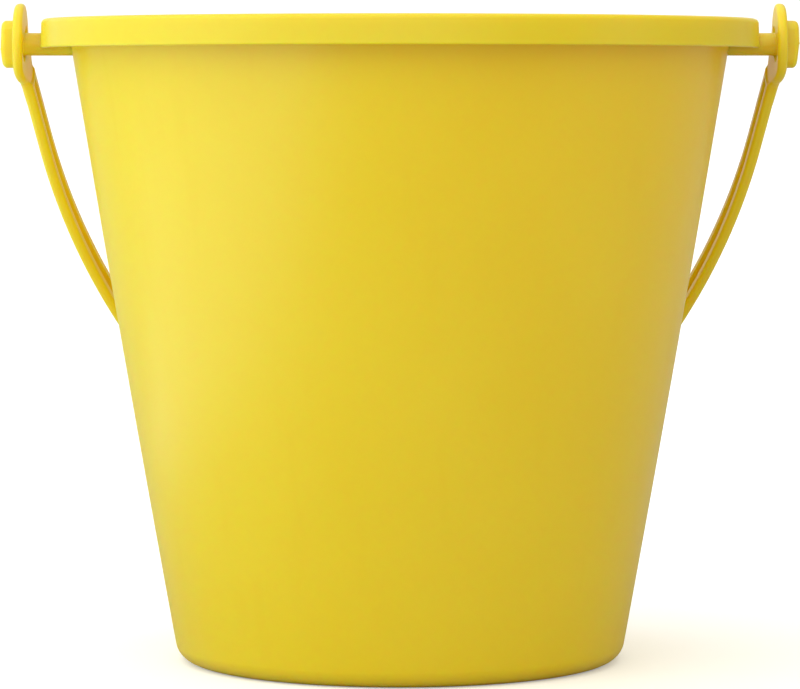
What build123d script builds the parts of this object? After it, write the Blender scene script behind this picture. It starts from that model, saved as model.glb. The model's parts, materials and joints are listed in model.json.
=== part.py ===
"""Children's sand bucket: one moulded pail with its two side pegs, and the moulded bow handle that swings on them.

Millimetres, +Z up. The origin is the centre of the base, on the surface that the bucket stands on.
The handle's pivot axis runs along X through both pegs.
"""
import os
from math import cos, radians, sin

from build123d import *

# Pail: wall, floor and foot
HEIGHT = 161.4
WALL_R_BASE = 55.9        # outside wall radius where it would meet the ground
WALL_R_TOP = 83.45        # outside wall radius at the height of the rim's top
WALL_BELLY = 0.4          # how far the wall bows out of a straight cone, half-way up
WALL_T = 1.8
FLOOR_T = 2.8
BASE_CORNER_R = 5.2
INSIDE_CORNER_R = 3.6
FOOT_RING_R = 43.0        # inner radius of the flat ring that the pail stands on
FOOT_RECESS = 0.8
FOOT_RECESS_DRAFT = 0.8

# Rim: a flange that turns down into a skirt
RIM_R = 90.0
RIM_SKIRT_H = 7.2
RIM_T = 1.8
RIM_DRAFT = 0.2
RIM_CORNER_R = 1.3
RIM_EDGE_R = 0.5

# Pegs: a round arm through the skirt, with an upright oval head
PIVOT_Z = 155.1
ARM_R = 2.85
ARM_ROOT_X = 81.9         # the arm starts inside the wall's thickness
HEAD_IN_X = 96.9
HEAD_OUT_X = 100.2
HEAD_LENGTH = 11.9
HEAD_WIDTH = 5.2
HEAD_EDGE_R = 1.3

# Handle: a bent band with an eye at each end
EYE_OUT_X = 96.6
EYE_R = 10.2
EYE_HOLE_R = 3.2
EYE_SLOT_LENGTH = 12.6    # the slot lets the peg's head through while the handle is held level
EYE_SLOT_WIDTH = 5.8
EYE_T = 2.5
BAND_T = 2.9              # the band is thicker than the eye, so it meets it in a small step on the inner face
BAND_WIDTH = 9.0
NECK_FILLET_R = 4.0       # between the round eye and the band's long edges
GROOVE_WIDTH = 3.8
GROOVE_DEPTH = 1.2
GROOVE_END_R = 11.2       # the groove stops at this distance from the pivot
BEND_R = 25.0             # just below the eye
BEND_START = 0.65         # how far below the pivot that bend begins
LEG_LEAN = 10.5           # degrees, how far each leg leans towards the other
LEG_LENGTH = 24.0
SHOULDER_R = 195.0
SHOULDER_END = 35.3       # degrees, where the shoulder arc passes into the grip arc
HANG_TILT = 30.0          # degrees from straight down, resting on the back of the wall


def wall_arc(inset, low, high):
    """The side wall's gently bowed line, `inset` inside its outer face, between two heights."""
    def at(z):
        share = z / HEIGHT
        bow = 4 * WALL_BELLY * share * (1 - share)
        return (WALL_R_BASE + (WALL_R_TOP - WALL_R_BASE) * share + bow - inset, z)
    return ThreePointArc(at(low), at((low + high) / 2), at(high))


def rounded(face, corners):
    """Round a flat face's corners; each corner is given as (x, y, radius), by a place that it is nearest to."""
    for x, y, radius in corners:
        nearest = min(face.vertices(), key=lambda v: (v.X - x) ** 2 + (v.Y - y) ** 2)
        face = fillet(nearest, radius)
    return face


def pail_shell():
    """Wall, floor and rim as one turned shape."""
    rim_low = HEIGHT - RIM_SKIRT_H
    outside = wall_arc(0, 0, HEIGHT - RIM_T)
    inside = wall_arc(WALL_T, FLOOR_T, HEIGHT)
    foot = Polyline((0, FLOOR_T), (0, FOOT_RECESS), (FOOT_RING_R - FOOT_RECESS_DRAFT, FOOT_RECESS),
                    (FOOT_RING_R, 0), outside @ 0)
    rim = Polyline(outside @ 1, (RIM_R - RIM_T, HEIGHT - RIM_T), (RIM_R - RIM_T, rim_low),
                   (RIM_R, rim_low), (RIM_R - RIM_DRAFT, HEIGHT), inside @ 1)
    floor = Line(inside @ 0, (0, FLOOR_T))
    section = make_face(foot.edges() + outside.edges() + rim.edges() + inside.edges() + floor.edges())
    section = rounded(section, [
        (WALL_R_BASE, 0, BASE_CORNER_R),
        (WALL_R_BASE, FLOOR_T, INSIDE_CORNER_R),
        (WALL_R_TOP, HEIGHT, RIM_EDGE_R),
        (RIM_R, HEIGHT, RIM_CORNER_R),
        (RIM_R, rim_low, RIM_EDGE_R),
        (RIM_R - RIM_T, rim_low, RIM_EDGE_R),
    ])
    return revolve(Plane.XZ * section, Axis.Z)


def peg():
    """The peg on the +X side: a round arm and an upright oval head with a rounded outer edge."""
    facing_x = Plane((0, 0, PIVOT_Z), x_dir=(0, 0, 1), z_dir=(1, 0, 0))
    arm = extrude(facing_x.offset(ARM_ROOT_X) * Circle(ARM_R), HEAD_IN_X + HEAD_EDGE_R - ARM_ROOT_X)
    oval = SlotOverall(HEAD_LENGTH, HEAD_WIDTH)
    head = extrude(facing_x.offset(HEAD_IN_X) * oval, HEAD_OUT_X - HEAD_IN_X)
    head = fillet(head.faces().sort_by(Axis.X)[-1].edges(), HEAD_EDGE_R)
    return arm + head


def bucket():
    """The pail and both pegs, which come out of one mould."""
    right = peg()
    return pail_shell() + right + mirror(right, Plane.YZ)


def bow_line(inset):
    """Half of the bow, `inset` inside its outer face, hanging straight down from the pivot at (0, 0)."""
    def out(angle):
        return Vector(cos(radians(angle)), -sin(radians(angle)))

    def arc(centre, radius, start, end):
        places = [centre + out(angle) * (radius - inset) for angle in (start, (start + end) / 2, end)]
        return ThreePointArc(*places)

    bend_centre = Vector(EYE_OUT_X - BEND_R, -BEND_START)
    leg_start = bend_centre + out(LEG_LEAN) * BEND_R
    leg_end = leg_start + out(LEG_LEAN + 90) * LEG_LENGTH
    shoulder_centre = leg_end - out(LEG_LEAN) * SHOULDER_R
    shoulder_end = shoulder_centre + out(SHOULDER_END) * SHOULDER_R
    grip_r = shoulder_end.X / cos(radians(SHOULDER_END))
    grip_centre = shoulder_end - out(SHOULDER_END) * grip_r

    eye = Line((EYE_OUT_X - inset, EYE_R), (EYE_OUT_X - inset, -BEND_START))
    bend = arc(bend_centre, BEND_R, 0, LEG_LEAN)
    leg = Line(bend @ 1, leg_end - out(LEG_LEAN) * inset)
    shoulder = arc(shoulder_centre, SHOULDER_R, LEG_LEAN, SHOULDER_END)
    grip = arc(grip_centre, grip_r, SHOULDER_END, 90)
    return [eye, bend, leg, shoulder, grip]


def bow_slab(outer_inset, inner_inset, half_width):
    """The half bow between two insets, as wide as asked, in the frame's XZ plane."""
    outer = bow_line(outer_inset)
    inner = bow_line(inner_inset)
    caps = [Line(outer[0] @ 0, inner[0] @ 0), Line(outer[-1] @ 1, inner[-1] @ 1)]
    face = make_face([line.edge() for line in outer + inner + caps])
    return extrude(Plane.XZ * face, half_width, both=True)


def band_outline():
    """What the band and its eye cover when seen along X: a disc running into a strip."""
    reach = 2 * WALL_R_TOP
    strip = Pos(0, -reach / 2) * Rectangle(BAND_WIDTH, reach)
    outline = Circle(EYE_R) + strip
    necks = [v for v in outline.vertices() if -EYE_R < v.Y < 0 and abs(abs(v.X) - BAND_WIDTH / 2) < 0.01]
    return fillet(necks, NECK_FILLET_R)


def eye_cutter():
    """The round hole for the arm, with the slot that the head passes through, across the band."""
    shape = Circle(EYE_HOLE_R) + SlotOverall(EYE_SLOT_LENGTH, EYE_SLOT_WIDTH)
    return extrude(Plane.YZ.offset(EYE_OUT_X - 2 * BAND_T) * shape, 4 * BAND_T)


def half_handle():
    """The +X half of the handle, hanging straight down from a pivot at the origin."""
    seen_along_x = extrude(Plane.YZ * band_outline(), HEIGHT)
    band = bow_slab(0, BAND_T, EYE_R) & seen_along_x
    groove = bow_slab(BAND_T - GROOVE_DEPTH, BAND_T + 1, GROOVE_WIDTH / 2)
    groove -= extrude(Plane.YZ * Circle(GROOVE_END_R), HEIGHT)
    step = bow_slab(EYE_T, BAND_T + 1, EYE_R) & extrude(Plane.YZ * Circle(EYE_R), HEIGHT)
    return band - groove - step - eye_cutter()


def handle():
    """The whole handle, turned back about the pivot until it rests on the wall."""
    half = half_handle()
    whole = half + mirror(half, Plane.YZ)
    return Pos(0, 0, PIVOT_Z) * Rot(HANG_TILT, 0, 0) * whole


os.makedirs("parts", exist_ok=True)
export_step(bucket(), "parts/bucket.step")
export_step(handle(), "parts/handle.step")
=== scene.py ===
"""Toy sand bucket: a pail with a turned-down rim, its two pegs, and the bow handle that swings on them.

Each piece is modelled in millimetres and brought to metres when it is finished.
"""
import json
import math
from types import SimpleNamespace

import bmesh
import bpy
from bpy.props import FloatProperty, FloatVectorProperty, IntProperty, PointerProperty
from mathutils import Matrix, Vector


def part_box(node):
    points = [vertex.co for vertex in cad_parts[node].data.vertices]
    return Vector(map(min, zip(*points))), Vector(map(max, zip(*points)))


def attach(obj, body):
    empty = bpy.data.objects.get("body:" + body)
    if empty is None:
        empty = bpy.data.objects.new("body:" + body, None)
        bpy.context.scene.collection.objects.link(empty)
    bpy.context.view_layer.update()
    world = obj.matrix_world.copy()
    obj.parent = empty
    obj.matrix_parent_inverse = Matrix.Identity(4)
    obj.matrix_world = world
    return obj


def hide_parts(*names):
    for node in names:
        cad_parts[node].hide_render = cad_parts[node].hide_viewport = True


bl_info = {
    "name": "Sand Bucket",
    "version": (1, 0, 0),
    "blender": (4, 5, 0),
    "location": "3D View > Sidebar > Sand Bucket",
    "description": "Builds a moulded toy sand bucket with a swinging bow handle",
    "category": "Add Mesh",
}

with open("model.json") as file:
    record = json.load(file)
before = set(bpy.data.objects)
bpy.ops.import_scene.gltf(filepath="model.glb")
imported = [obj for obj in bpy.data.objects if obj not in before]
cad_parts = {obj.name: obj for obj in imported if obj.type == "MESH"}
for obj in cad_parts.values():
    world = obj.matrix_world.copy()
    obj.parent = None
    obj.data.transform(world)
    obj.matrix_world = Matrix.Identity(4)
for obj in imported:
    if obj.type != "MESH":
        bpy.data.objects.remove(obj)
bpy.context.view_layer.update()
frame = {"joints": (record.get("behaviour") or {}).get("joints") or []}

MM = 0.001
BUCKET_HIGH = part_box("bucket")[1]
HINGE = frame["joints"][0]
X_AXIS, Y_AXIS, Z_AXIS = Vector((1, 0, 0)), Vector((0, 1, 0)), Vector((0, 0, 1))
TINY = 1e-3  # millimetres; places closer than this are the same


def length(name, description, millimetres):
    """A length property whose default is given in millimetres."""
    return FloatProperty(name=name, description=description, default=millimetres * MM, unit="LENGTH",
                         precision=5)


def turn(name, description, degrees):
    """An angle property whose default is given in degrees."""
    return FloatProperty(name=name, description=description, default=math.radians(degrees), subtype="ANGLE")


def colour(name, description, default):
    """A linear colour property."""
    return FloatVectorProperty(name=name, description=description, default=default, subtype="COLOR", size=3,
                               min=0, max=1)


def share(name, description, default):
    """A property between nought and one."""
    return FloatProperty(name=name, description=description, default=default, subtype="FACTOR", min=0, max=1)


def amount(name, description, default):
    """A plain number that can't be negative."""
    return FloatProperty(name=name, description=description, default=default, min=0)


def power(name, description, default):
    """The power of a lamp, in watts."""
    return FloatProperty(name=name, description=description, default=default, min=0, unit="POWER")


class PailSizes(bpy.types.PropertyGroup):
    """The turned part of the bucket."""
    height: length("Height", "Height of the pail, rim included", BUCKET_HIGH[2] / MM)
    base_radius: length("Base radius", "Outside wall radius where it would meet the ground", 55.9)
    top_radius: length("Top radius", "Outside wall radius at the height of the rim's top", 83.45)
    belly: length("Belly", "How far the wall bows out of a straight cone, half-way up", 0.4)
    wall: length("Wall", "Thickness of the wall", 1.8)
    floor: length("Floor", "Height of the inside floor", 2.8)
    base_round: length("Base rounding", "Radius of the corner between wall and underside", 5.2)
    inside_round: length("Inside rounding", "Radius of the corner between wall and inside floor", 3.6)
    foot_radius: length("Foot ring", "Inner radius of the flat ring that the pail stands on", 43.0)
    foot_recess: length("Foot recess", "How far the underside is set in", 0.8)
    foot_draft: length("Foot draft", "How far the recess widens towards the ground", 0.8)
    gate_radius: length("Gate mark", "Radius of the stub where the plastic entered the mould", 1.9)
    gate_draft: length("Gate draft", "How far the stub narrows towards its end", 0.4)
    gate_low: length("Gate height", "Height of the stub's end above the ground", 0.45)
    rim_radius: length("Rim radius", "Outer radius of the rim", BUCKET_HIGH[1] / MM)
    rim_drop: length("Rim drop", "How far the rim's skirt turns down", 7.2)
    rim_wall: length("Rim wall", "Thickness of the rim and its skirt", 1.8)
    rim_draft: length("Rim draft", "How far the skirt narrows towards its top", 0.2)
    rim_round: length("Rim rounding", "Radius of the rim's upper outer edge", 1.3)
    edge_round: length("Edge rounding", "Radius of the remaining rim edges", 0.5)
    root_round: length("Root rounding", "Radius between the wall and the rim's underside", 0.8)
    steps: IntProperty(name="Steps", description="Divisions around the pail", default=256, min=32, max=512)


class PegSizes(bpy.types.PropertyGroup):
    """The two pegs that carry the handle."""
    height: length("Height", "Height of the pegs' axis, which is the handle's pivot", HINGE["pos_m"][2] / MM)
    arm_radius: length("Arm radius", "Radius of the round arm", 2.85)
    arm_root: length("Arm root", "Where the arm starts, inside the wall", 81.9)
    head_in: length("Head inner face", "Distance of the head's inner face from the bucket's axis", 96.9)
    head_out: length("Head outer face", "Distance of the head's outer face from the bucket's axis",
                     BUCKET_HIGH[0] / MM)
    head_length: length("Head length", "Upright length of the head", 11.9)
    head_width: length("Head width", "Width of the head across the peg", 5.2)
    head_round: length("Head rounding", "Radius of the head's outer edge", 1.3)
    flare: length("Flare", "Length over which the arm widens into the head", 0.4)
    back_round: length("Back rounding", "Radius of the head's inner edge", 0.25)
    draft_above: amount("Draft above", "Fall of the head's outer face above the parting line", 0.035)
    draft_below: amount("Draft below", "Fall of the head's outer face below the parting line", 0.11)
    parting_right: length("Right parting", "Parting line above the axis, on the +X peg", 0.25)
    parting_left: length("Left parting", "Parting line above the axis, on the -X peg", -1.2)
    flash: length("Flash", "How far the parting line stands proud", 0.1)
    flash_height: length("Flash height", "Height of the flash on either side of the parting line", 0.3)
    nub: length("Nub", "How far the flash stands out at the end of the head", 0.3)


class HandleSizes(bpy.types.PropertyGroup):
    """The bow handle and its two eyes."""
    eye_out: length("Eye outer face", "Distance of the eye's outer face from the bucket's axis", 96.6)
    eye_radius: length("Eye radius", "Radius of the round eye", 10.2)
    eye_thickness: length("Eye thickness", "Thickness of the eye", 2.5)
    hole_radius: length("Hole radius", "Radius of the hole that the arm turns in", 3.2)
    slot_length: length("Slot length", "Overall length of the slot that the head passes through", 12.6)
    slot_width: length("Slot width", "Width of that slot", 5.8)
    band_width: length("Band width", "Width of the band", 9.0)
    band_thickness: length("Band thickness", "Thickness of the band", 2.9)
    neck_round: length("Neck rounding", "Radius between the eye and the band's long edges", 4.0)
    groove_width: length("Groove width", "Width of the groove along the band's inner face", 3.8)
    groove_depth: length("Groove depth", "Depth of that groove", 1.2)
    crown: length("Crown", "How far the band's outer face domes across its width", 0.25)
    outer_round: length("Outer rounding", "Radius of the outer long edges", 1.15)
    inner_round: length("Inner rounding", "Radius of the inner long edges", 0.85)
    groove_round: length("Groove rounding", "Radius of the groove's edges", 0.35)
    bend_start: length("Bend start", "How far below the pivot the band starts to lean in", 0.65)
    bend_radius: length("Bend radius", "Radius of the bend below the eye", 25.0)
    lean: turn("Lean", "How far each leg leans towards the other", 10.5)
    leg_length: length("Leg length", "Length of the straight leg", 24.0)
    shoulder_radius: length("Shoulder radius", "Radius of the shallow shoulder arc", 195.0)
    shoulder_end: turn("Shoulder end", "Angle at which the shoulder passes into the grip", 35.3)
    tilt: turn("Tilt", "Turn back from straight down, to rest on the wall", 30.0)


class PlasticLook(bpy.types.PropertyGroup):
    """The satin polypropylene that all pieces are moulded in."""
    body: colour("Body", "Colour of the plastic", (0.870, 0.672, 0.012))
    pale: colour("Pale", "Colour where the pigment is thinner", (0.880, 0.690, 0.018))
    deep: colour("Deep", "Colour in the flow marks", (0.855, 0.650, 0.009))
    roughness: share("Roughness", "Roughness of the moulded surface", 0.34)
    translucency: share("Translucency", "Share of the light that scatters inside the plastic", 0.8)
    depth: length("Depth", "How far light travels inside the plastic", 4.0)


class StageLook(bpy.types.PropertyGroup):
    """Floor, lights and camera."""
    floor: colour("Floor", "Colour of the floor", (0.93, 0.93, 0.93))
    bounce: share("Bounce", "Share of its light that the floor throws back", 0.5)
    glow: amount("Glow", "Light that the floor gives off by itself", 0.3)
    backdrop: amount("Backdrop", "Brightness of the white backdrop", 1.12)
    surround: amount("Surround", "Strength of the surroundings on the left, which light the bucket", 1.27)
    shade: amount("Shade", "Strength of the surroundings on the right", 0.66)
    shade_tint: colour("Shade tint", "Colour of the surroundings on the right", (1.0, 0.88, 0.62))
    behind: share("Behind", "Strength of the surroundings behind, as a share of those in front", 0.65)
    key: power("Key", "Power of the main light, on the left", 2.1)
    key_tint: colour("Key tint", "Colour of the main light", (0.80, 1.0, 0.95))
    fill: power("Fill", "Power of the light on the right", 0.8)
    front: power("Front", "Power of the light in front", 0.6)
    card: power("Floor card", "Power of the bounce card on the floor", 1.6)
    card_tint: colour("Card tint", "Colour of the bounce card", (0.72, 0.94, 1.0))
    distance: length("Camera distance", "How far in front of the bucket the camera stands", 1038.6)
    camera_height: length("Camera height", "Height of the camera", 144.9)
    pitch: turn("Camera pitch", "How far the camera looks down", 3.6)
    lens: FloatProperty(name="Lens", description="Focal length in millimetres", default=185.6, min=1)


def in_mm(group):
    """The group's values as plain numbers, with its lengths in millimetres."""
    values = {}
    for prop in group.bl_rna.properties:
        if prop.identifier in {"rna_type", "name"}:
            continue
        value = getattr(group, prop.identifier)
        values[prop.identifier] = value / MM if prop.type == "FLOAT" and prop.unit == "LENGTH" else value
    return SimpleNamespace(**values)


# Shaping helpers

class Pen:
    """Draws an outline in a bmesh: straight runs by extruding a vertex, and arcs by spinning it."""

    def __init__(self, bm, start, axis):
        self.bm = bm
        self.axis = axis
        self.tip = bm.verts.new(start)

    def line_to(self, place):
        grown = bmesh.ops.extrude_vert_indiv(self.bm, verts=[self.tip])
        self.tip = grown["verts"][0]
        self.tip.co = place

    def arc(self, centre, angle, steps):
        swept = bmesh.ops.spin(self.bm, geom=[self.tip], cent=centre, axis=self.axis, dvec=(0, 0, 0),
                               angle=angle, steps=steps, use_merge=False, use_duplicate=False)
        self.tip = next(item for item in swept["geom_last"] if isinstance(item, bmesh.types.BMVert))


def nearest_vert(bm, place):
    return min(bm.verts, key=lambda v: (v.co - Vector(place)).length_squared)


def round_corner(bm, place, radius, segments=6):
    """Rounds the corner of a flat outline that lies nearest to a place."""
    corner = nearest_vert(bm, place)
    one, other = (edge.other_vert(corner).co - corner.co for edge in corner.link_edges)
    bmesh.ops.bevel(bm, geom=[corner], offset=radius / math.tan(one.angle(other) / 2), offset_type="OFFSET",
                    segments=segments, profile=0.5, affect="VERTICES", material=-1)


def round_edges(bm, edges, radius, segments):
    bmesh.ops.bevel(bm, geom=edges, offset=radius, offset_type="OFFSET", segments=segments, profile=0.5,
                    affect="EDGES", clamp_overlap=True, material=-1)


def edges_between(bm, first, second):
    """The edges where a face that passes the first test meets one that passes the second."""
    found = []
    for edge in bm.edges:
        if len(edge.link_faces) == 2:
            a, b = edge.link_faces
            if (first(a) and second(b)) or (first(b) and second(a)):
                found.append(edge)
    return found


def cut(bm, place, normal, faces=None):
    """Adds an edge loop where a plane passes through the mesh, or only through some of its faces."""
    if faces is None:
        geom = bm.verts[:] + bm.edges[:] + bm.faces[:]
    else:
        geom = list({v for f in faces for v in f.verts}) + list({e for f in faces for e in f.edges}) + faces
    bmesh.ops.bisect_plane(bm, geom=geom, dist=TINY / 10, plane_co=place, plane_no=normal)


def push(bm, faces, move, keep=False):
    """Extrudes some faces and returns the new vertices; `keep` leaves the first faces, to close a sheet."""
    grown = bmesh.ops.extrude_face_region(bm, geom=faces)
    verts = [item for item in grown["geom"] if isinstance(item, bmesh.types.BMVert)]
    bmesh.ops.translate(bm, verts=verts, vec=move)
    if not keep:
        bmesh.ops.delete(bm, geom=[face for face in faces if face.is_valid], context="FACES")
    return verts


def smooth_step(value):
    value = min(max(value, 0.0), 1.0)
    return value * value * (3 - 2 * value)


def finish_piece(bm, name, body, node, material):
    """Turns a bmesh into a finished piece that rides on a body and stands for a CAD node."""
    bmesh.ops.triangulate(bm, faces=[face for face in bm.faces if len(face.verts) > 4])
    bmesh.ops.recalc_face_normals(bm, faces=bm.faces[:])
    for face in bm.faces:
        face.smooth = True
    bmesh.ops.scale(bm, vec=(MM, MM, MM), verts=bm.verts[:])
    mesh = bpy.data.meshes.new(name)
    bm.to_mesh(mesh)
    bm.free()
    mesh.materials.append(material)
    piece = bpy.data.objects.new(name, mesh)
    bpy.context.scene.collection.objects.link(piece)
    shading = piece.modifiers.new("Even shading", "WEIGHTED_NORMAL")
    shading.keep_sharp = True
    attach(piece, body)
    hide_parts(node)
    return piece


# Pail

def pail_mesh(size):
    """Foot, wall, floor and rim, turned from one outline."""
    lean = (size.top_radius - size.base_radius) / size.height
    under_rim = size.height - size.rim_wall
    skirt_low = size.height - size.rim_drop
    skirt_in = size.rim_radius - size.rim_wall

    def wall(z, inset=0.0):
        return size.base_radius + lean * z - inset

    outline = [
        (0, size.gate_low), (size.gate_radius - size.gate_draft, size.gate_low),
        (size.gate_radius, size.foot_recess),
        (size.foot_radius - size.foot_draft, size.foot_recess), (size.foot_radius, 0),
        (wall(0), 0), (wall(under_rim), under_rim), (skirt_in, under_rim), (skirt_in, skirt_low),
        (size.rim_radius, skirt_low), (size.rim_radius - size.rim_draft, size.height),
        (wall(size.height, size.wall), size.height), (wall(size.floor, size.wall), size.floor),
        (0, size.floor),
    ]
    bm = bmesh.new()
    pen = Pen(bm, (outline[0][0], 0, outline[0][1]), Z_AXIS)
    for radius, z in outline[1:]:
        pen.line_to((radius, 0, z))
    bm.edges.new((pen.tip, nearest_vert(bm, (0, 0, outline[0][1]))))
    bmesh.ops.contextual_create(bm, geom=bm.verts[:] + bm.edges[:])
    for corner, radius in [
        (outline[5], size.base_round), (outline[6], size.root_round), (outline[7], size.root_round),
        (outline[8], size.edge_round), (outline[9], size.edge_round), (outline[10], size.rim_round),
        (outline[11], size.edge_round), (outline[12], size.inside_round),
    ]:
        round_corner(bm, (corner[0], 0, corner[1]), radius, 8 if radius > 1 else 5)
    bmesh.ops.delete(bm, geom=bm.faces[:], context="FACES_ONLY")
    along_axis = [e for e in bm.edges if all(abs(v.co.x) < TINY / 10 for v in e.verts)]
    bmesh.ops.delete(bm, geom=along_axis, context="EDGES")
    bmesh.ops.subdivide_edges(bm, edges=[e for e in bm.edges if e.calc_length() > size.height / 2], cuts=30)
    near_wall = 3
    for v in bm.verts:
        if v.co.x > size.foot_radius + 1 and abs(v.co.x - wall(v.co.z)) < near_wall:
            part = v.co.z / size.height
            v.co.x += 4 * size.belly * part * (1 - part)
    bmesh.ops.spin(bm, geom=bm.verts[:] + bm.edges[:], cent=(0, 0, 0), axis=Z_AXIS, dvec=(0, 0, 0),
                   angle=2 * math.pi, steps=size.steps, use_merge=True, use_duplicate=False)
    bmesh.ops.remove_doubles(bm, verts=bm.verts[:], dist=TINY)
    return bm


# Pegs

def peg_mesh(size, side, parting):
    """A round arm that flares into an upright oval head, with the mould's parting line round the head."""
    bm = bmesh.new()
    segments = 48
    made = bmesh.ops.create_circle(bm, cap_ends=True, segments=segments, radius=size.arm_radius)
    bmesh.ops.rotate(bm, verts=made["verts"], matrix=Matrix.Rotation(math.pi / segments, 3, "Z"))
    bmesh.ops.rotate(bm, verts=made["verts"], matrix=Matrix.Rotation(math.pi / 2, 3, "Y"))
    bmesh.ops.translate(bm, verts=made["verts"], vec=(size.arm_root, 0, 0))

    def push_out(distance):
        front = max(bm.faces, key=lambda f: f.calc_center_median().x)
        return push(bm, [front], (distance, 0, 0), keep=len(bm.faces) == 1)

    push_out(size.head_in - size.flare - size.arm_root)
    oval = push_out(size.flare)
    end_radius = size.head_width / 2
    slide = size.head_length / 2 - end_radius
    bmesh.ops.scale(bm, vec=(1, end_radius / size.arm_radius, end_radius / size.arm_radius), verts=oval)
    for v in oval:
        v.co.z += math.copysign(slide, v.co.z)
    push_out(size.head_out - size.head_in)
    tip = max(bm.faces, key=lambda f: f.calc_center_median().x)
    round_edges(bm, list(tip.edges), size.head_round, 6)
    back = [e for e in bm.edges if all(abs(v.co.x - size.head_in) < TINY for v in e.verts)]
    round_edges(bm, back, size.back_round, 2)
    for offset in (-size.flash_height, 0, size.flash_height):
        head = [f for f in bm.faces if f.calc_center_median().x > size.head_in + 0.2]
        cut(bm, (0, 0, parting + offset), Z_AXIS, head)
    bm.normal_update()
    seam = [v for v in bm.verts if abs(v.co.z - parting) < TINY and v.co.x > size.head_in + 0.3]
    moves = [(v, v.normal.copy()) for v in seam]
    for v, out in moves:
        v.co += size.flash * Vector((out.x, out.y, 0))
    for v in bm.verts:
        if v.co.x > size.head_in + 0.5:
            out = (v.co.x - size.head_in) / (size.head_out - size.head_in)
            rise = v.co.z - parting
            v.co.x -= (size.draft_above * rise if rise > 0 else -size.draft_below * rise) * out
            if abs(v.co.z - parting) < TINY and abs(v.co.y) < end_radius / 2:
                v.co.x += size.nub - size.flash
    bmesh.ops.translate(bm, verts=bm.verts[:], vec=(0, 0, size.height))
    if side < 0:
        bmesh.ops.scale(bm, vec=(-1, 1, 1), verts=bm.verts[:])
    return bm


# Handle

def eye_outline(bm, size):
    """Draws half of the flat eye and neck, the pivot at the origin; returns the height where they end."""
    half_band = size.band_width / 2
    fillet_y = half_band + size.neck_round
    fillet_z = -math.sqrt((size.eye_radius + size.neck_round) ** 2 - fillet_y ** 2)
    sweep = math.atan2(-fillet_z, fillet_y)
    slot_half = size.slot_width / 2
    lobe = size.slot_length / 2 - slot_half
    meet = math.sqrt(size.hole_radius ** 2 - slot_half ** 2)
    notch = math.atan2(meet, slot_half)

    pen = Pen(bm, (0, 0, size.eye_radius), X_AXIS)
    pen.arc((0, 0, 0), -(math.pi / 2 + sweep), 48)
    pen.arc((0, fillet_y, fillet_z), sweep, 10)
    groove_half = size.groove_width / 2
    for y in ((half_band + groove_half) / 2, groove_half, 0):
        pen.line_to((0, y, fillet_z))
    pen.line_to((0, 0, -size.hole_radius))
    pen.arc((0, 0, 0), notch, 4)
    pen.line_to((0, lobe, -slot_half))
    pen.arc((0, lobe, 0), math.pi, 20)
    pen.line_to((0, meet, slot_half))
    pen.arc((0, 0, 0), notch, 4)
    pen.line_to((0, 0, size.eye_radius))
    bmesh.ops.remove_doubles(bm, verts=bm.verts[:], dist=TINY)
    bmesh.ops.contextual_create(bm, geom=bm.verts[:] + bm.edges[:])
    return fillet_z


def bend(bm, start, radius, angle, outer):
    """Bends what lies further along than `start` inwards; `radius` is that of the outer face."""
    centre_x = outer - radius
    for v in bm.verts:
        along = -v.co.z - start
        if along <= 0:
            continue
        turned = min(along / radius, angle)
        rest = along - turned * radius
        reach = v.co.x - centre_x
        v.co.x = centre_x + reach * math.cos(turned) - rest * math.sin(turned)
        v.co.z = -start - reach * math.sin(turned) - rest * math.cos(turned)


def bow_line(size):
    """Each bend's start along the outer face, radius and angle, and the whole length to the middle."""
    def out(angle):
        return Vector((math.cos(angle), -math.sin(angle)))

    shoulder_angle = size.shoulder_end - size.lean
    bend_centre = Vector((size.eye_out - size.bend_radius, -size.bend_start))
    leg_start = bend_centre + out(size.lean) * size.bend_radius
    leg_end = leg_start + out(size.lean + math.pi / 2) * size.leg_length
    shoulder_end = leg_end + (out(size.shoulder_end) - out(size.lean)) * size.shoulder_radius
    grip_radius = shoulder_end.x / math.cos(size.shoulder_end)
    grip_angle = math.pi / 2 - size.shoulder_end
    shoulder_start = size.bend_start + size.bend_radius * size.lean + size.leg_length
    grip_start = shoulder_start + size.shoulder_radius * shoulder_angle
    bends = [
        (grip_start, grip_radius, grip_angle),
        (shoulder_start, size.shoulder_radius, shoulder_angle),
        (size.bend_start, size.bend_radius, size.lean),
    ]
    return bends, grip_start + grip_radius * grip_angle


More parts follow.
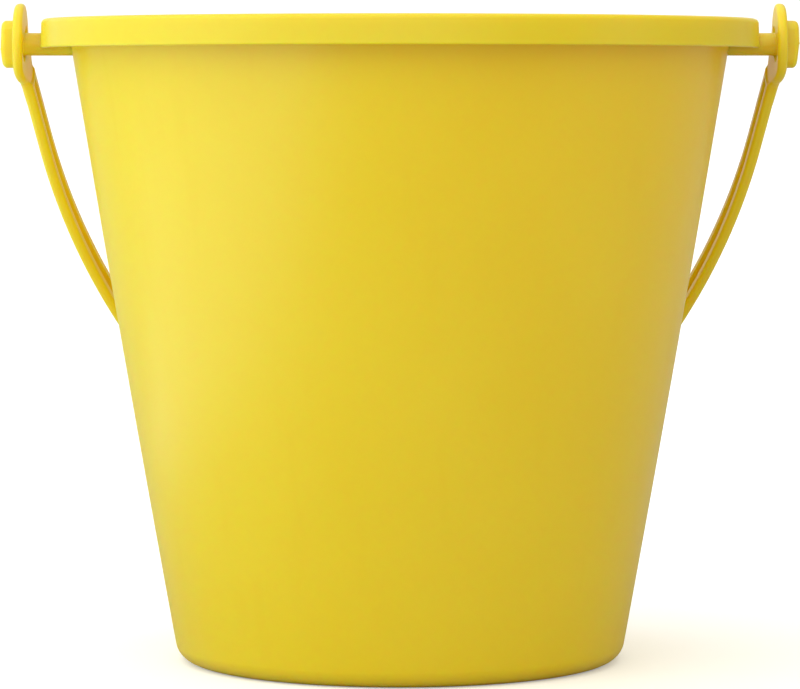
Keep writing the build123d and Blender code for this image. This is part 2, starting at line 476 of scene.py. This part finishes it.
def handle_mesh(size, pivot):
    """The handle: a flat eye and straight band, thickened, grooved and rounded, then bent to the bow."""
    bends, reach = bow_line(size)
    spare = 2
    bm = bmesh.new()
    root = eye_outline(bm, size)
    steps = 72
    for _ in range(steps):
        low = min(v.co.z for v in bm.verts)
        front = [e for e in bm.edges if all(abs(v.co.z - low) < TINY for v in e.verts)]
        grown = bmesh.ops.extrude_edge_only(bm, edges=front)
        verts = [v for v in grown["geom"] if isinstance(v, bmesh.types.BMVert)]
        bmesh.ops.translate(bm, verts=verts, vec=(0, 0, -(reach + spare + root) / steps))
    bmesh.ops.mirror(bm, geom=bm.verts[:] + bm.edges[:] + bm.faces[:], merge_dist=TINY, axis="Y")
    bmesh.ops.remove_doubles(bm, verts=bm.verts[:], dist=TINY)

    push(bm, bm.faces[:], (-size.eye_thickness, 0, 0), keep=True)
    end = [f for f in bm.faces if all(abs(v.co.z + reach + spare) < TINY for v in f.verts)]
    bmesh.ops.delete(bm, geom=end, context="FACES")
    bmesh.ops.recalc_face_normals(bm, faces=bm.faces[:])

    groove_half = size.groove_width / 2

    def outer_face(face):
        return all(abs(v.co.x) < TINY for v in face.verts)

    def inner_face(face):
        return all(abs(v.co.x + size.eye_thickness) < TINY for v in face.verts)

    def side_face(face):
        return not outer_face(face) and not inner_face(face)

    def step_faces():
        """The inner faces just below the eye, where the thicker band steps up from it."""
        found = []
        for face in bm.faces:
            middle = face.calc_center_median()
            if (face.normal.x < -0.9 and middle.x < -size.eye_thickness / 2
                    and root < middle.z < -size.eye_radius * 0.7):
                found.append(face)
        return found

    def round_hole(edge):
        return all(math.hypot(v.co.y, v.co.z) < size.slot_length / 2 + 0.1 for v in edge.verts)

    outside = edges_between(bm, outer_face, side_face)
    inside = edges_between(bm, inner_face, side_face)
    hole = [e for e in outside + inside if round_hole(e)]
    outer_rim = [e for e in outside if not round_hole(e)]
    inner_rim = [e for e in inside if not round_hole(e)]
    round_edges(bm, outer_rim, size.outer_round, 5)
    round_edges(bm, [e for e in inner_rim if e.is_valid], size.inner_round, 4)
    round_edges(bm, [e for e in hole if e.is_valid], 0.3, 2)

    floor = [f for f in bm.faces if inner_face(f) and f.calc_center_median().z < root
             and abs(f.calc_center_median().y) < groove_half]
    push(bm, floor, (size.groove_depth, 0, 0))
    bmesh.ops.recalc_face_normals(bm, faces=bm.faces[:])
    lip = [e for e in bm.edges if all(abs(v.co.x + size.eye_thickness) < TINY for v in e.verts)
           and all(abs(v.co.y) < groove_half + TINY for v in e.verts)
           and all(v.co.z < root + TINY for v in e.verts)
           and any(abs(f.normal.x) < 0.5 for f in e.link_faces)]
    round_edges(bm, lip, size.groove_round, 3)

    levels = [-size.bend_start - size.bend_radius * size.lean * n / 6 for n in range(7)]
    for level in levels:
        cut(bm, (0, 0, level), Z_AXIS)
    spacing = 0.25
    rows = 20
    for n in range(rows):
        cut(bm, (0, 0, root + spacing * (n + 1)), Z_AXIS, step_faces())
    for n in range(-rows, rows + 1):
        cut(bm, (0, spacing * (n + 0.5), 0), Y_AXIS, step_faces())

    deeper = size.band_thickness - size.eye_thickness
    step_run = 0.6
    crown_run = 6
    for v in bm.verts:
        out = math.hypot(v.co.y, v.co.z) - size.eye_radius
        if v.co.x < -size.eye_thickness / 2 and v.co.z < -size.eye_radius / 2:
            v.co.x -= deeper * smooth_step(out / step_run)
        elif v.co.x > -size.eye_thickness / 2 and v.co.z < root:
            across = 2 * v.co.y / size.band_width
            v.co.x -= size.crown * across ** 2 * smooth_step((root - v.co.z) / crown_run)

    bmesh.ops.translate(bm, verts=bm.verts[:], vec=(size.eye_out, 0, 0))
    for start, radius, angle in bends:
        bend(bm, start, radius, angle, size.eye_out)
    bmesh.ops.bisect_plane(bm, geom=bm.verts[:] + bm.edges[:] + bm.faces[:], dist=TINY / 10,
                           plane_co=(0, 0, 0), plane_no=X_AXIS, clear_inner=True)
    bmesh.ops.mirror(bm, geom=bm.verts[:] + bm.edges[:] + bm.faces[:], merge_dist=TINY, axis="X")
    bmesh.ops.remove_doubles(bm, verts=bm.verts[:], dist=TINY)
    bmesh.ops.rotate(bm, verts=bm.verts[:], cent=(0, 0, 0), matrix=Matrix.Rotation(size.tilt, 3, "X"))
    bmesh.ops.translate(bm, verts=bm.verts[:], vec=(0, 0, pivot))
    return bm


# Plastic

def plastic(look):
    """Satin polypropylene: cloudy pigment, faint draw lines, a fine moulded grain and handling scuffs."""
    known = bpy.data.materials.get("Satin polypropylene")
    if known:
        return known
    material = bpy.data.materials.new("Satin polypropylene")
    material.use_nodes = True
    nodes, links = material.node_tree.nodes, material.node_tree.links
    nodes.clear()

    def node(kind, **settings):
        made = nodes.new(kind)
        for key, value in settings.items():
            setattr(made, key, value)
        return made

    def noise(scale, detail, stretch=(1, 1, 1), roughness=0.5):
        mapping = node("ShaderNodeMapping")
        mapping.inputs["Scale"].default_value = stretch
        links.new(place.outputs["Object"], mapping.inputs["Vector"])
        made = node("ShaderNodeTexNoise")
        made.inputs["Scale"].default_value = scale
        made.inputs["Detail"].default_value = detail
        made.inputs["Roughness"].default_value = roughness
        links.new(mapping.outputs["Vector"], made.inputs["Vector"])
        return made.outputs["Fac"]

    def ramp(source, low, high, low_value=0.0, high_value=1.0):
        made = node("ShaderNodeMapRange", clamp=True)
        links.new(source, made.inputs["Value"])
        limits = {"From Min": low, "From Max": high, "To Min": low_value, "To Max": high_value}
        for socket, value in limits.items():
            made.inputs[socket].default_value = value
        return made.outputs["Result"]

    def blend_colour(factor, first, second):
        made = node("ShaderNodeMix", data_type="RGBA")
        links.new(factor, made.inputs["Factor"])
        for socket, value in ((made.inputs[6], first), (made.inputs[7], second)):
            if isinstance(value, bpy.types.NodeSocket):
                links.new(value, socket)
            else:
                socket.default_value = (*value, 1)
        return made.outputs[2]

    def combine(operation, first, second):
        made = node("ShaderNodeMath", operation=operation)
        for socket, value in ((made.inputs[0], first), (made.inputs[1], second)):
            if isinstance(value, bpy.types.NodeSocket):
                links.new(value, socket)
            else:
                socket.default_value = value
        return made.outputs[0]

    place = node("ShaderNodeTexCoord")
    clouds = noise(scale=22, detail=3)
    draw_lines = noise(scale=140, detail=4, stretch=(1, 1, 0.035))
    grain = noise(scale=2600, detail=2)
    peel = noise(scale=420, detail=2)
    scuffs = noise(scale=70, detail=8, stretch=(1, 1, 9), roughness=0.72)

    body = blend_colour(ramp(clouds, 0.35, 0.68), look.body, look.pale)
    body = blend_colour(ramp(draw_lines, 0.58, 0.78, 0.0, 0.5), body, look.deep)

    marks = ramp(scuffs, 0.64, 0.72)
    rough = combine("ADD", ramp(grain, 0.3, 0.7, look.roughness - 0.03, look.roughness + 0.04),
                    ramp(draw_lines, 0.3, 0.8, -0.02, 0.04))
    rough = combine("ADD", rough, combine("MULTIPLY", marks, 0.08))

    relief = combine("ADD", combine("MULTIPLY", grain, 0.25), combine("MULTIPLY", peel, 0.5))
    relief = combine("ADD", relief, combine("MULTIPLY", marks, -0.2))
    bump = node("ShaderNodeBump")
    bump.inputs["Strength"].default_value = 0.25
    bump.inputs["Distance"].default_value = 0.00005
    links.new(relief, bump.inputs["Height"])

    shader = node("ShaderNodeBsdfPrincipled")
    shader.subsurface_method = "RANDOM_WALK"
    for socket, value in (
        ("IOR", 1.49), ("Specular IOR Level", 0.5),
        ("Subsurface Weight", look.translucency), ("Subsurface Scale", look.depth),
        ("Subsurface Radius", (1.0, 0.5, 0.03)), ("Subsurface Anisotropy", 0.0),
    ):
        shader.inputs[socket].default_value = value
    links.new(body, shader.inputs["Base Color"])
    links.new(rough, shader.inputs["Roughness"])
    links.new(bump.outputs["Normal"], shader.inputs["Normal"])
    output = node("ShaderNodeOutputMaterial")
    links.new(shader.outputs["BSDF"], output.inputs["Surface"])
    return material


# Stage

def floor_material(look):
    """Matt white paper with a faint tooth, which throws less light on the bucket than it shows the camera."""
    material = bpy.data.materials.new("Floor paper")
    material.use_nodes = True
    nodes, links = material.node_tree.nodes, material.node_tree.links
    shader = nodes["Principled BSDF"]
    shader.inputs["Roughness"].default_value = 0.9
    shader.inputs["Specular IOR Level"].default_value = 0.2
    shader.inputs["Emission Color"].default_value = (1, 1, 1, 1)
    shader.inputs["Emission Strength"].default_value = look.glow
    place = nodes.new("ShaderNodeTexCoord")
    tooth = nodes.new("ShaderNodeTexNoise")
    tooth.inputs["Scale"].default_value = 300
    tint = nodes.new("ShaderNodeMix")
    tint.data_type = "RGBA"
    tint.inputs[6].default_value = (*look.floor, 1)
    tint.inputs[7].default_value = (*(min(1.0, part * 1.02) for part in look.floor), 1)
    links.new(place.outputs["Object"], tooth.inputs["Vector"])
    links.new(tooth.outputs["Fac"], tint.inputs["Factor"])
    links.new(tint.outputs[2], shader.inputs["Base Color"])
    seen = nodes.new("ShaderNodeLightPath")
    dim = nodes.new("ShaderNodeBsdfDiffuse")
    dim.inputs["Color"].default_value = (look.bounce, look.bounce, look.bounce, 1)
    choice = nodes.new("ShaderNodeMixShader")
    links.new(seen.outputs["Is Camera Ray"], choice.inputs["Fac"])
    links.new(dim.outputs["BSDF"], choice.inputs[1])
    links.new(shader.outputs["BSDF"], choice.inputs[2])
    links.new(choice.outputs["Shader"], nodes["Material Output"].inputs["Surface"])
    return material


def build_floor(look):
    """A pale floor that runs out to the horizon."""
    bm = bmesh.new()
    bmesh.ops.create_grid(bm, x_segments=4, y_segments=4, size=30)
    mesh = bpy.data.meshes.new("floor")
    bm.to_mesh(mesh)
    bm.free()
    mesh.materials.append(floor_material(look))
    floor = bpy.data.objects.new("floor", mesh)
    bpy.context.scene.collection.objects.link(floor)


def add_softbox(name, place, target, width, height, watts, tint=(1, 1, 1)):
    """A rectangular lamp, in metres, that faces a target."""
    data = bpy.data.lights.new(name, "AREA")
    data.color = tint
    data.shape = "RECTANGLE"
    data.size, data.size_y = width, height
    data.energy = watts
    lamp = bpy.data.objects.new(name, data)
    lamp.location = place
    lamp.rotation_euler = (Vector(target) - Vector(place)).to_track_quat("-Z", "Y").to_euler()
    bpy.context.scene.collection.objects.link(lamp)


def build_lights(look):
    """Soft lights, a bounce card on the floor just out of view, and the white surroundings."""
    middle = (0, 0, BUCKET_HIGH[2] / 2)
    add_softbox("Key softbox", (-1.10, -0.55, 0.45), middle, 0.9, 1.2, look.key, look.key_tint)
    add_softbox("Fill softbox", (1.20, -0.42, 0.40), middle, 0.35, 1.0, look.fill)
    add_softbox("Front softbox", (-0.9, -1.6, 1.5), middle, 1.2, 1.2, look.front)
    add_softbox("Floor card", (-0.45, -0.25, 0.01), (-0.45, -0.25, 1), 0.5, 0.8, look.card, look.card_tint)
    build_surroundings(look)


def build_surroundings(look):
    """Surroundings that fall off to the right and behind, with a plain white backdrop for the camera."""
    world = bpy.data.worlds.new("White surroundings")
    world.use_nodes = True
    nodes, links = world.node_tree.nodes, world.node_tree.links
    heading = nodes.new("ShaderNodeTexCoord")
    parts = nodes.new("ShaderNodeSeparateXYZ")
    links.new(heading.outputs["Generated"], parts.inputs["Vector"])

    def fall_off(direction, start, end, first=0.0, last=1.0):
        made = nodes.new("ShaderNodeMapRange")
        made.interpolation_type = "SMOOTHSTEP"
        limits = {"From Min": start, "From Max": end, "To Min": first, "To Max": last}
        for socket, value in limits.items():
            made.inputs[socket].default_value = value
        links.new(parts.outputs[direction], made.inputs["Value"])
        return made.outputs["Result"]

    tone = nodes.new("ShaderNodeMix")
    tone.data_type = "RGBA"
    tone.inputs[6].default_value = (look.surround, look.surround, look.surround, 1)
    tone.inputs[7].default_value = (*(part * look.shade for part in look.shade_tint), 1)
    links.new(fall_off("X", 0.12, 0.7), tone.inputs["Factor"])
    around = nodes["Background"]
    links.new(tone.outputs[2], around.inputs["Color"])
    links.new(fall_off("Y", 0.1, 0.8, 1.0, look.behind), around.inputs["Strength"])
    white = nodes.new("ShaderNodeBackground")
    white.inputs["Color"].default_value = (1, 1, 1, 1)
    white.inputs["Strength"].default_value = look.backdrop
    seen = nodes.new("ShaderNodeLightPath")
    choice = nodes.new("ShaderNodeMixShader")
    links.new(seen.outputs["Is Camera Ray"], choice.inputs["Fac"])
    links.new(around.outputs["Background"], choice.inputs[1])
    links.new(white.outputs["Background"], choice.inputs[2])
    links.new(choice.outputs["Shader"], nodes["World Output"].inputs["Surface"])
    bpy.context.scene.world = world


def build_camera(look):
    data = bpy.data.cameras.new("Camera")
    data.sensor_width = 36
    data.sensor_fit = "HORIZONTAL"
    data.lens = look.lens
    camera = bpy.data.objects.new("Camera", data)
    camera.location = (0, -look.distance, look.camera_height)
    camera.rotation_euler = (math.pi / 2 - look.pitch, 0, 0)
    bpy.context.scene.collection.objects.link(camera)
    bpy.context.scene.camera = camera
    bpy.context.scene.view_settings.view_transform = "Standard"


# Operators, panel and registration

class SANDBUCKET_OT_pail(bpy.types.Operator):
    """Build the pail with its rim and foot"""
    bl_idname = "sandbucket.pail"
    bl_label = "Pail"

    def execute(self, context):
        scene = context.scene
        bm = pail_mesh(in_mm(scene.sandbucket_pail))
        finish_piece(bm, "pail", "bucket", "bucket", plastic(scene.sandbucket_plastic))
        return {"FINISHED"}


class SANDBUCKET_OT_pegs(bpy.types.Operator):
    """Build the two pegs that carry the handle"""
    bl_idname = "sandbucket.pegs"
    bl_label = "Pegs"

    def execute(self, context):
        scene = context.scene
        size = in_mm(scene.sandbucket_pegs)
        plan = (("peg_right", 1, size.parting_right), ("peg_left", -1, size.parting_left))
        for name, side, parting in plan:
            bm = peg_mesh(size, side, parting)
            finish_piece(bm, name, "bucket", "bucket", plastic(scene.sandbucket_plastic))
        return {"FINISHED"}


class SANDBUCKET_OT_handle(bpy.types.Operator):
    """Build the bow handle with its eyes"""
    bl_idname = "sandbucket.handle"
    bl_label = "Handle"

    def execute(self, context):
        scene = context.scene
        bm = handle_mesh(in_mm(scene.sandbucket_handle), in_mm(scene.sandbucket_pegs).height)
        finish_piece(bm, "bow_handle", "handle", "handle", plastic(scene.sandbucket_plastic))
        return {"FINISHED"}


class SANDBUCKET_OT_stage(bpy.types.Operator):
    """Set up the floor, the lights and the camera"""
    bl_idname = "sandbucket.stage"
    bl_label = "Stage"

    def execute(self, context):
        look = context.scene.sandbucket_stage
        build_floor(look)
        build_lights(look)
        build_camera(look)
        return {"FINISHED"}


class SANDBUCKET_PT_panel(bpy.types.Panel):
    """Lists the bucket's pieces, sizes and finish"""
    bl_idname = "SANDBUCKET_PT_panel"
    bl_label = "Sand Bucket"
    bl_space_type = "VIEW_3D"
    bl_region_type = "UI"
    bl_category = "Sand Bucket"

    def draw(self, context):
        for operator, group in (
            ("sandbucket.pail", "sandbucket_pail"), ("sandbucket.pegs", "sandbucket_pegs"),
            ("sandbucket.handle", "sandbucket_handle"), ("sandbucket.stage", "sandbucket_stage"),
            (None, "sandbucket_plastic"),
        ):
            box = self.layout.box()
            if operator:
                box.operator(operator)
            settings = getattr(context.scene, group)
            for prop in settings.bl_rna.properties:
                if prop.identifier not in {"rna_type", "name"}:
                    box.prop(settings, prop.identifier)


GROUPS = {
    "sandbucket_pail": PailSizes,
    "sandbucket_pegs": PegSizes,
    "sandbucket_handle": HandleSizes,
    "sandbucket_plastic": PlasticLook,
    "sandbucket_stage": StageLook,
}
WORKERS = (
    SANDBUCKET_OT_pail, SANDBUCKET_OT_pegs, SANDBUCKET_OT_handle, SANDBUCKET_OT_stage, SANDBUCKET_PT_panel,
)


def register():
    for group in GROUPS.values():
        bpy.utils.register_class(group)
    for worker in WORKERS:
        bpy.utils.register_class(worker)
    for name, group in GROUPS.items():
        setattr(bpy.types.Scene, name, PointerProperty(type=group))


def unregister():
    for name in GROUPS:
        delattr(bpy.types.Scene, name)
    for worker in reversed(WORKERS):
        bpy.utils.unregister_class(worker)
    for group in reversed(list(GROUPS.values())):
        bpy.utils.unregister_class(group)


def main():
    register()
    bpy.ops.sandbucket.pail()
    bpy.ops.sandbucket.pegs()
    bpy.ops.sandbucket.handle()
    bpy.ops.sandbucket.stage()


if __name__ == "__main__":
    main()
